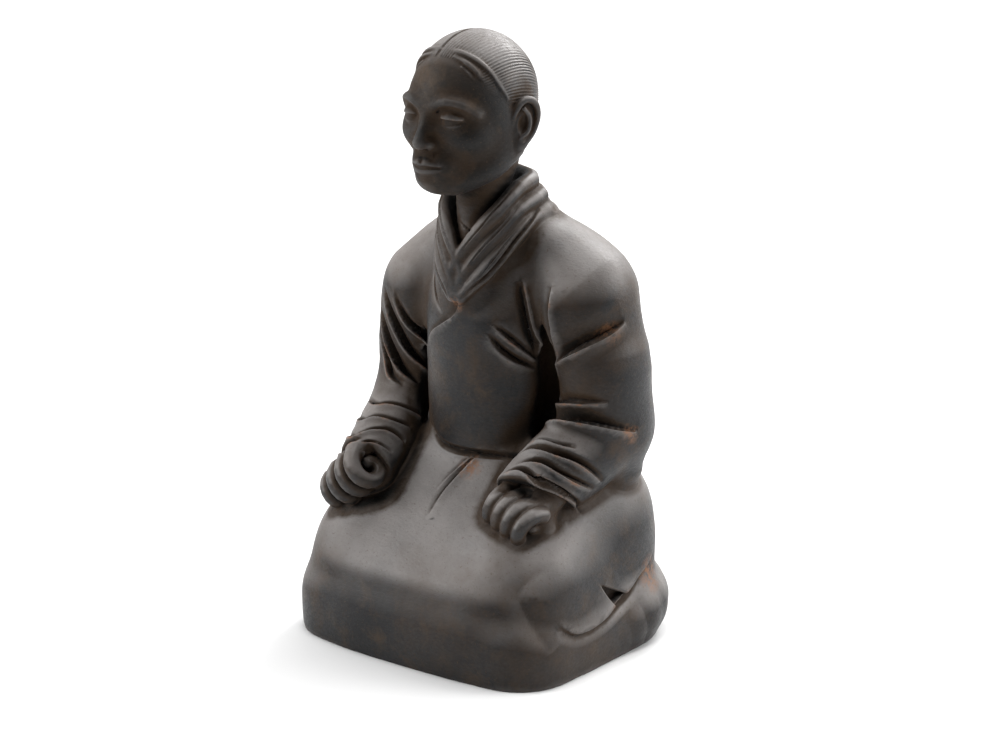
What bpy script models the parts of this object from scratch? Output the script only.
"""A kneeling figure carved from one block of dark wood.

The sitter kneels upright in a long-sleeved wrapped jacket, with closed hands resting on
the thighs and the robe spread over the knees and heels down to a flat underside. It is
one solid: rounded masses are laid into each other, fused into a single skin, carved
along the folds and then cut off flat at the floor.

Shapes are worked out in millimetres and scaled to metres at the end. The figure faces
-Y, its left hand is on +X, and +Z is up. The origin is the middle of the underside.
"""
import math

import bmesh
import bpy
import numpy as np
from mathutils import Euler, Matrix, Vector
from mathutils.bvhtree import BVHTree

# Driving dimensions, in millimetres.
BASE_HALF_WIDTH = 78.0
BASE_HALF_DEPTH = 66.5
WAIST_HALF_WIDTH = 36.0
BACK_HALF_WIDTH = 60.0
SHOULDER_X = 46.0
SHOULDER_Z = 167.0
ELBOW_X = 55.0
ELBOW_Z = 112.0
SLEEVE_RADIUS = 21.5
CUFF_RADIUS = 18.0
NECK_RADIUS = 16.0
HEAD_HALF_WIDTH = 28.5
HEAD_TOP = 299.0
COLLAR_RADIUS = 5.5
FIST_RADIUS = 12.0
FINGER_RADIUS = 5.0

SKIN_STEP = 1.7          # cell of the grid that fuses the masses
SOFTENING = 8            # passes that round the joins between masses
TRIANGLES = 9200
SCALE = 0.001            # millimetres to metres
SIDES = (1, -1)          # the figure's left, then its right


# ---------------------------------------------------------------- curves
def smooth_path(points, count):
    """Points along a Catmull-Rom curve through the given points or table rows."""
    rows = np.asarray(points, float)
    rows = np.vstack([2 * rows[0] - rows[1], rows, 2 * rows[-1] - rows[-2]])
    along = np.linspace(0, len(rows) - 3 - 1e-6, count)
    first = along.astype(int)
    t = (along - first)[:, None]
    a, b, c, d = (rows[first + k] for k in range(4))
    cubic = 3 * b - a - 3 * c + d
    return 0.5 * (2 * b + (c - a) * t + (2 * a - 5 * b + 4 * c - d) * t ** 2 + cubic * t ** 3)


def mirrored(points, side):
    """The same points on the figure's left (1) or right (-1)."""
    return [(side * x, y, z) for x, y, z in points]


# ---------------------------------------------------------------- rounded masses
def bridge(bm, rings):
    """A closed skin over a row of vertex rings, capped at both ends."""
    for low, high in zip(rings, rings[1:]):
        for i in range(len(low)):
            j = (i + 1) % len(low)
            bm.faces.new((low[i], low[j], high[j], high[i]))
    bm.faces.new(list(reversed(rings[0])))
    bm.faces.new(rings[-1])


def ellipsoid(bm, centre, radii, turn=(0, 0, 0)):
    """A sphere stretched to three radii and turned by degrees about X, Y and Z."""
    turned = Euler([math.radians(a) for a in turn]).to_matrix().to_4x4()
    place = Matrix.Translation(centre) @ turned @ Matrix.Diagonal((*radii, 1))
    bmesh.ops.create_uvsphere(bm, u_segments=40, v_segments=24, radius=1, matrix=place)


def rounded_stack(bm, rows, count=30, segments=72):
    """Rounded-box sections up Z, from rows of z, centre y, half width, half depth, power."""
    rings = []
    for z, middle, half_x, half_y, power in smooth_path(rows, count):
        ring = []
        for k in range(segments):
            angle = 2 * math.pi * k / segments
            cos, sin = math.cos(angle), math.sin(angle)
            x = half_x * math.copysign(abs(cos) ** (2 / power), cos)
            y = half_y * math.copysign(abs(sin) ** (2 / power), sin)
            ring.append(bm.verts.new((x, middle + y, z)))
        rings.append(ring)
    bridge(bm, rings)


def limb(bm, points, radii, squeeze=(1, 1, 1), count=14, segments=28):
    """A round-ended tube along a smooth path, its rings stretched by squeeze."""
    rows = smooth_path([(*p, r) for p, r in zip(points, radii)], count)
    centres = [Vector(row[:3]) for row in rows]
    sizes = [row[3] for row in rows]
    stations = []
    for i, (centre, size) in enumerate(zip(centres, sizes)):
        ahead = (centres[min(i + 1, count - 1)] - centres[max(i - 1, 0)]).normalized()
        stations.append((centre, ahead, size))
    first, last = stations[0], stations[-1]
    for angle in (30, 58, 82):
        lift = math.radians(angle)
        stations.insert(0, (first[0] - first[1] * first[2] * math.sin(lift), first[1],
                            first[2] * math.cos(lift)))
        stations.append((last[0] + last[1] * last[2] * math.sin(lift), last[1],
                         last[2] * math.cos(lift)))
    rings = []
    for centre, ahead, size in stations:
        across = ahead.cross(Vector((0.13, 0.31, 0.94))).normalized()
        over = ahead.cross(across)
        ring = []
        for k in range(segments):
            angle = 2 * math.pi * k / segments
            arm = size * (math.cos(angle) * across + math.sin(angle) * over)
            ring.append(bm.verts.new(centre + Vector([a * s for a, s in zip(arm, squeeze)])))
        rings.append(ring)
    bridge(bm, rings)


# ---------------------------------------------------------------- the figure's masses
def robe(bm):
    """The spread robe, from the rounded lower edge up to the lap."""
    width, depth = BASE_HALF_WIDTH, BASE_HALF_DEPTH
    rounded_stack(bm, [
        (-9, 0, width - 3, depth - 3, 3.6),
        (0, 0, width, depth, 3.8),
        (8, 0, width + 1, depth + 1, 3.7),
        (20, 0, width + 1, depth + 0.5, 3.6),
        (36, 2.5, width - 2, depth - 5, 3.7),
        (57, 7, width - 6, depth - 12, 3.8),
        (75, 15, width - 17, depth - 17, 3.1),
        (92, 22, width - 29, depth - 23, 2.6),
        (104, 24, width - 40, depth - 28, 2.2),
    ])
    limb(bm, [(54, -41, 2), (54, -40, 16), (50, -30, 36)], [21, 21, 18])


def heel_roll(bm):
    """The hem that folds over the feet, a fat roll round the back of the robe."""
    half = [(66, 6, 12), (64, 34, 17), (46, 55, 19), (20, 61, 19)]
    path = half + mirrored(half[::-1], -1)
    sizes = [12, 17, 18, 18]
    limb(bm, path, sizes + sizes[::-1], count=40)


def torso(bm):
    """The jacket's body: a full chest and belly, and a broad rounded back behind them."""
    waist = WAIST_HALF_WIDTH
    rounded_stack(bm, [
        (78, 18, waist - 3, 36, 2.2),
        (98, 17, waist - 1, 36, 2.2),
        (120, 18, waist, 38, 2.2),
        (145, 19, waist, 40, 2.2),
        (165, 21, waist + 1, 40, 2.3),
        (185, 23, waist - 2, 35, 2.2),
        (200, 23, waist - 10, 27, 2.1),
        (211, 20, waist - 18, 20, 2.0),
    ])
    rounded_stack(bm, [
        (84, 34, BACK_HALF_WIDTH - 16, 25, 2.6),
        (120, 34, BACK_HALF_WIDTH - 14, 25, 2.6),
        (150, 33, BACK_HALF_WIDTH - 8, 26, 2.6),
        (170, 31, BACK_HALF_WIDTH, 27, 2.5),
        (182, 30, BACK_HALF_WIDTH - 1, 26, 2.4),
        (194, 29, BACK_HALF_WIDTH - 9, 23, 2.3),
        (202, 27, BACK_HALF_WIDTH - 21, 18, 2.1),
        (208, 25, BACK_HALF_WIDTH - 36, 13, 2.0),
    ])


def arm(bm, side):
    """A wide sleeve hanging to the elbow and coming forward to the cuff."""
    reach = -18 if side > 0 else -23
    upper = [(SHOULDER_X, 20, SHOULDER_Z), (ELBOW_X - 1, 22, 140), (ELBOW_X, 24, ELBOW_Z)]
    lower = [(ELBOW_X - 1, 26, ELBOW_Z - 4), (52, 6, 97), (47, reach, 87)]
    limb(bm, mirrored(upper, side), [SLEEVE_RADIUS] * 3, squeeze=(0.96, 1.15, 1))
    limb(bm, mirrored(lower, side), [SLEEVE_RADIUS, SLEEVE_RADIUS - 1, CUFF_RADIUS])


def hand(bm, thumb_end, little_end, roll):
    """A closed hand: a core from the thumb's end to the little finger's, and four fingers.

    roll turns the finger loops round the core, in degrees from straight ahead.
    """
    first, last = Vector(thumb_end), Vector(little_end)
    axis = (last - first).normalized()
    limb(bm, [first, last], [FIST_RADIUS - 1.5, FIST_RADIUS - 2.5])
    ahead = (Vector((0, -1, 0)) - axis * axis.dot(Vector((0, -1, 0)))).normalized()
    up = axis.cross(ahead)
    if up.z < 0:
        up = -up
    for finger in range(4):
        share = (finger + 0.25) / 3.5
        centre = first.lerp(last, share)
        loop = []
        for degrees in (75, 35, -10, -60):
            angle = math.radians(degrees + roll)
            arm_out = ahead * math.cos(angle) + up * math.sin(angle)
            loop.append(centre + arm_out * (FIST_RADIUS - 0.5))
        limb(bm, loop, [FINGER_RADIUS, FINGER_RADIUS, FINGER_RADIUS - 0.3, FINGER_RADIUS - 1])


def collar(bm, side):
    """Two rolled bands round the neck, crossing low on the chest."""
    inner = [(0, 26, 222), (15, 19, 219), (19, 1, 206), (11, -17, 181), (0, -22, 163)]
    outer = [(0, 31, 210), (20, 23, 206), (24, 4, 195), (16, -14, 176), (3, -20, 156)]
    size = COLLAR_RADIUS
    limb(bm, mirrored(inner, side), [size, size, size, size - 0.5, size - 1.5], count=24)
    limb(bm, mirrored(outer, side), [size + 1, size + 1, size + 0.5, size - 0.5, size - 2],
         count=24)


def head(bm):
    """A leaning neck and an egg-shaped head with a calm, plain face."""
    limb(bm, [(0, 6, 186), (0, -1, 238)], [NECK_RADIUS + 1, NECK_RADIUS], squeeze=(1, 1.25, 1))
    width = HEAD_HALF_WIDTH
    ellipsoid(bm, (0, -4, HEAD_TOP - 31), (width, 34, 31))
    ellipsoid(bm, (0, -17, 254), (width - 4, 25, 27))
    ellipsoid(bm, (0, -27, 236), (width - 14, 13, 10))
    limb(bm, [(0, -39, 266), (0, -43, 258), (0, -45, 252)], [2.4, 3.0, 4.2])
    ellipsoid(bm, (0, -38.5, 243.5), (7.5, 4, 3.6))
    for side in SIDES:
        limb(bm, mirrored([(4, -39, 268), (11, -37.5, 271), (19, -31, 268)], side),
             [2.6, 3.0, 2.4])
        ellipsoid(bm, (side * 11, -34.5, 263.5), (5.6, 4.6, 3.4))
        ellipsoid(bm, (side * 14, -29, 250), (8, 8, 8))
        ellipsoid(bm, (side * 3.4, -42.5, 251), (2.6, 3.2, 2.4))
        ellipsoid(bm, (side * (width - 0.5), -2, 257), (3.6, 7.5, 10.5), (12, 0, side * 18))


def rough_block():
    """All the masses in one mesh, before they are fused."""
    bm = bmesh.new()
    robe(bm)
    heel_roll(bm)
    torso(bm)
    for side in SIDES:
        arm(bm, side)
        collar(bm, side)
    hand(bm, (34, -30, 77), (60, -28, 72), -12)
    hand(bm, (-38, -39, 88), (-61, -35, 69), -8)
    head(bm)
    mesh = bpy.data.meshes.new("rough_block")
    bm.to_mesh(mesh)
    bm.free()
    return mesh


# ---------------------------------------------------------------- carving
# Folds cut into the skin: a path over the surface, then width and depth. A negative
# depth raises a ridge. Each one fades out at both ends.
LEFT_FOLDS = [
    ([(27, -4, 180), (31, -5, 168), (40, -4, 158), (47, -6, 148)], 4.0, 4.0),
    ([(18, -16, 162), (24, -13, 153), (32, -3, 143)], 3.2, 2.6),
    ([(50, -4, 148), (62, 0, 156), (70, 13, 164)], 3.0, 3.4),
    ([(48, -7, 139), (60, -4, 147), (70, 8, 154)], 4.5, -1.6),
    ([(36, 3, 113), (57, -5, 118), (71, 4, 117), (77, 14, 111)], 2.8, 3.0),
    ([(40, -4, 108), (58, -10, 112), (72, 0, 109)], 4.0, -1.8),
    ([(30, -10, 99), (50, -17, 107), (68, -9, 101), (70, 5, 87)], 3.0, 3.2),
    ([(36, -25, 98), (54, -20, 104), (68, -11, 97), (66, 12, 79)], 2.8, -1.6),
    ([(38, -27, 99), (57, -24, 100), (69, -8, 88)], 2.6, 3.0),
    ([(33, -29, 93), (52, -31, 96), (64, -23, 88), (66, -4, 74)], 2.6, 2.6),
]
RIGHT_FOLDS = [
    ([(-44, 4, 178), (-37, -2, 166), (-30, -8, 152)], 4.5, 2.4),
    ([(-57, -3, 166), (-48, -4, 151), (-38, 2, 138)], 4.0, 2.6),
    ([(-62, -2, 144), (-53, -3, 132), (-41, 1, 123)], 4.0, 2.6),
    ([(-62, -10, 110), (-48, -11, 112), (-37, -4, 109)], 2.8, 3.0),
    ([(-62, -22, 101), (-46, -19, 108), (-33, -9, 103)], 2.8, 2.8),
    ([(-62, -29, 95), (-46, -27, 104), (-32, -15, 99)], 2.8, 2.8),
    ([(-60, -36, 90), (-45, -35, 100), (-31, -26, 95)], 2.8, 2.6),
]
ROBE_FOLDS = [
    ([(7, -20, 95), (4, -28, 84), (0, -38, 68)], 3.0, 1.6),
    ([(11, -21, 94), (9, -29, 84), (6, -38, 70)], 3.0, -1.2),
    ([(63, -32, 62), (68, -41, 46), (71, -49, 26)], 9.0, -2.2),
    ([(70, 40, 40), (75, 25, 34), (77, 10, 30), (76, -1, 30)], 4.0, 4.0),
    ([(-70, 40, 40), (-75, 25, 34), (-77, 10, 30)], 4.5, 2.6),
    ([(50, 60, 39), (20, 74, 40), (-20, 74, 40), (-50, 60, 39)], 5.0, 3.0),
    ([(19, -13, 190), (12, -22, 176), (4, -25, 163), (-10, -20, 153), (-20, -14, 142)], 2.2, 2.0),
    ([(-19, -15, 141), (-19, -16, 122), (-18, -15, 104)], 3.2, 2.2),
]
FOLDS = LEFT_FOLDS + RIGHT_FOLDS + ROBE_FOLDS


def nearest_on_path(points, path):
    """For each point, its distance to the path and how far along the path that is, 0 to 1."""
    best = np.full(len(points), 1e9)
    share = np.zeros(len(points))
    for i, (start, end) in enumerate(zip(path, path[1:])):
        run = end - start
        t = np.clip(((points - start) @ run) / max(run @ run, 1e-9), 0, 1)
        distance = np.linalg.norm(points - start - t[:, None] * run, axis=1)
        closer = distance < best
        best[closer] = distance[closer]
        share[closer] = (i + t[closer]) / (len(path) - 1)
    return best, share


def carve(mesh, folds):
    """Move the skin in along every fold, and out along every ridge."""
    tree = BVHTree.FromPolygons([v.co for v in mesh.vertices], [p.vertices for p in mesh.polygons])
    points = np.empty(len(mesh.vertices) * 3)
    mesh.vertices.foreach_get("co", points)
    points = points.reshape(-1, 3)
    normals = np.empty(len(mesh.vertices) * 3)
    mesh.vertex_normals.foreach_get("vector", normals)
    normals = normals.reshape(-1, 3)
    depth = np.zeros(len(points))
    for route, width, deep in folds:
        path = np.array([tree.find_nearest(Vector(p))[0] for p in smooth_path(route, 16)])
        low, high = path.min(0) - 2.5 * width, path.max(0) + 2.5 * width
        near = np.nonzero(((points > low) & (points < high)).all(1))[0]
        distance, share = nearest_on_path(points[near], path)
        fade = np.clip(np.minimum(share, 1 - share) * 4, 0, 1)
        depth[near] += deep * fade * np.exp(-(distance / width * 1.5) ** 2)
    points -= normals * depth[:, None]
    mesh.vertices.foreach_set("co", points.ravel())
    mesh.update()


# ---------------------------------------------------------------- one closed solid
def evaluated(obj):
    """The object's mesh with its modifiers applied, as a new mesh."""
    bpy.context.view_layer.update()
    graph = bpy.context.evaluated_depsgraph_get()
    return bpy.data.meshes.new_from_object(obj.evaluated_get(graph))


def fused(mesh):
    """One even skin over all the masses, with its joins rounded."""
    obj = bpy.data.objects.new("kneeling_figure", mesh)
    bpy.context.collection.objects.link(obj)
    skin = obj.modifiers.new("fuse", "REMESH")
    skin.mode = "VOXEL"
    skin.voxel_size = SKIN_STEP
    soften = obj.modifiers.new("soften", "SMOOTH")
    soften.factor = 0.5
    soften.iterations = SOFTENING
    obj.data = evaluated(obj)
    obj.modifiers.clear()
    return obj


def reduced(obj):
    """Fewer triangles, kept where the form turns."""
    thin = obj.modifiers.new("reduce", "DECIMATE")
    triangles = sum(len(face.vertices) - 2 for face in obj.data.polygons)
    thin.ratio = TRIANGLES / triangles
    obj.data = evaluated(obj)
    obj.modifiers.clear()


def cut_flat(obj):
    """Cut the underside flat at the floor, centre it there and scale to metres."""
    bm = bmesh.new()
    bm.from_mesh(obj.data)
    everything = bm.verts[:] + bm.edges[:] + bm.faces[:]
    cut = bmesh.ops.bisect_plane(bm, geom=everything, plane_co=(0, 0, 0), plane_no=(0, 0, 1),
                                 dist=0.01, clear_inner=True)
    rim = [e for e in cut["geom_cut"] if isinstance(e, bmesh.types.BMEdge)]
    bmesh.ops.holes_fill(bm, edges=rim)
    bmesh.ops.triangulate(bm, faces=bm.faces[:])
    low = [min(v.co[k] for v in bm.verts) for k in range(3)]
    high = [max(v.co[k] for v in bm.verts) for k in range(3)]
    middle = Vector(((low[0] + high[0]) / 2, (low[1] + high[1]) / 2, low[2]))
    for vert in bm.verts:
        vert.co = (vert.co - middle) * SCALE
    bm.to_mesh(obj.data)
    bm.free()


def dark_wood():
    """Blackened, hand-polished hardwood."""
    material = bpy.data.materials.new("dark_wood")
    material.use_nodes = True
    shader = material.node_tree.nodes["Principled BSDF"]
    shader.inputs["Base Color"].default_value = (0.045, 0.040, 0.038, 1)
    shader.inputs["Roughness"].default_value = 0.48
    shader.inputs["Metallic"].default_value = 0.0
    return material


def main():
    for obj in list(bpy.data.objects):
        bpy.data.objects.remove(obj)
    figure = fused(rough_block())
    carve(figure.data, FOLDS)
    reduced(figure)
    cut_flat(figure)
    figure.data.materials.clear()
    figure.data.materials.append(dark_wood())
    figure.data.shade_smooth()
    figure.data.set_sharp_from_angle(angle=math.radians(50))


main()
